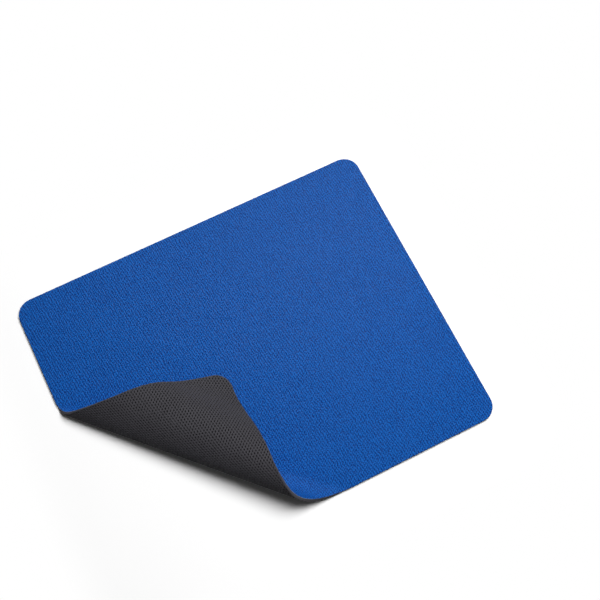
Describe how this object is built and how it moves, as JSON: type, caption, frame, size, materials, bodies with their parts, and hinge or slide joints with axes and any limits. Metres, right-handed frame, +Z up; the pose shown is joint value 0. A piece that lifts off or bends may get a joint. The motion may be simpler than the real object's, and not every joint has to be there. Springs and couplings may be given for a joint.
{
  "type": "mouse pad",
  "caption": "Thin rectangular cloth-topped mouse pad on a foam rubber base, with rounded corners and one corner peeled up and over to show the non-slip underside.",
  "frame": {"origin": "middle of the pad's plan outline, on the surface that it lies on", "axes": "+X along the long side, +Y along the short side away from the peeled corner, +Z up out of the cloth"},
  "size_m": [0.22, 0.18, 0.0266],
  "materials": {
    "rubber": "matte, moulded non-slip grain",
    "film": "matte, shows only at the cut edge",
    "cloth": "fine woven polyester, matte"
  },
  "bodies": {
    "root": {"rubber_base": "rubber", "bonding_film": "film", "top_fabric": "cloth"}
  },
  "joints": []
}
